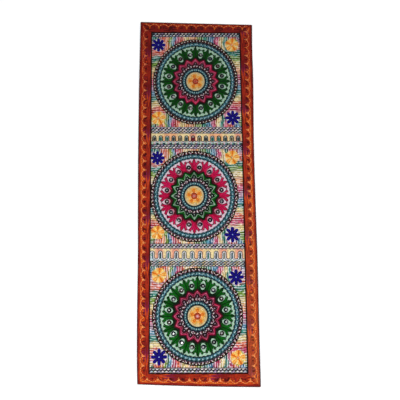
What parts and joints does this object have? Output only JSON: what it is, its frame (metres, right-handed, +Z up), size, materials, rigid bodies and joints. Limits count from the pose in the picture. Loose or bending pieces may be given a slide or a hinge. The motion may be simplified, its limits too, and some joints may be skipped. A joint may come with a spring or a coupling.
{
  "type": "embroidered table runner",
  "caption": "Long flat cotton table runner covered in coloured chain stitch, with three round mirror-work medallions in panels and a scalloped border.",
  "frame": {"origin": "on the table surface, under the middle of the cloth's bounding box", "axes": "+Y along the cloth towards the end whose left corner reaches furthest out, +X across it, +Z up out of the embroidered face"},
  "size_m": [0.3539, 1.1006, 0.004],
  "materials": {
    "stitched_cotton": "cotton ground closely covered in coloured chain stitch",
    "border_thread": "orange and red chain stitch with a light scalloped line",
    "mirror_glass": "small rounds of silvered glass"
  },
  "bodies": {
    "root": {"ground_cloth": "stitched_cotton", "border_left": "border_thread", "border_right": "border_thread", "border_top": "border_thread", "border_bottom": "border_thread", "heart_mirror_upper": "mirror_glass", "mirror_upper_01": "mirror_glass", "mirror_upper_02": "mirror_glass", "mirror_upper_03": "mirror_glass", "mirror_upper_04": "mirror_glass", "mirror_upper_05": "mirror_glass", "mirror_upper_06": "mirror_glass", "mirror_upper_07": "mirror_glass", "mirror_upper_08": "mirror_glass", "mirror_upper_09": "mirror_glass", "mirror_upper_10": "mirror_glass", "mirror_upper_11": "mirror_glass", "mirror_upper_12": "mirror_glass", "mirror_upper_13": "mirror_glass", "mirror_upper_14": "mirror_glass", "mirror_upper_15": "mirror_glass", "mirror_upper_16": "mirror_glass", "heart_mirror_middle": "mirror_glass", "mirror_middle_01": "mirror_glass", "mirror_middle_02": "mirror_glass", "mirror_middle_03": "mirror_glass", "mirror_middle_04": "mirror_glass", "mirror_middle_05": "mirror_glass", "mirror_middle_06": "mirror_glass", "mirror_middle_07": "mirror_glass", "mirror_middle_08": "mirror_glass", "mirror_middle_09": "mirror_glass", "mirror_middle_10": "mirror_glass", "mirror_middle_11": "mirror_glass", "mirror_middle_12": "mirror_glass", "mirror_middle_13": "mirror_glass", "mirror_middle_14": "mirror_glass", "mirror_middle_15": "mirror_glass", "mirror_middle_16": "mirror_glass", "heart_mirror_lower": "mirror_glass", "mirror_lower_01": "mirror_glass", "mirror_lower_02": "mirror_glass", "mirror_lower_03": "mirror_glass", "mirror_lower_04": "mirror_glass", "mirror_lower_05": "mirror_glass", "mirror_lower_06": "mirror_glass", "mirror_lower_07": "mirror_glass", "mirror_lower_08": "mirror_glass", "mirror_lower_09": "mirror_glass", "mirror_lower_10": "mirror_glass", "mirror_lower_11": "mirror_glass", "mirror_lower_12": "mirror_glass", "mirror_lower_13": "mirror_glass", "mirror_lower_14": "mirror_glass", "mirror_lower_15": "mirror_glass", "mirror_lower_16": "mirror_glass"}
  },
  "joints": []
}
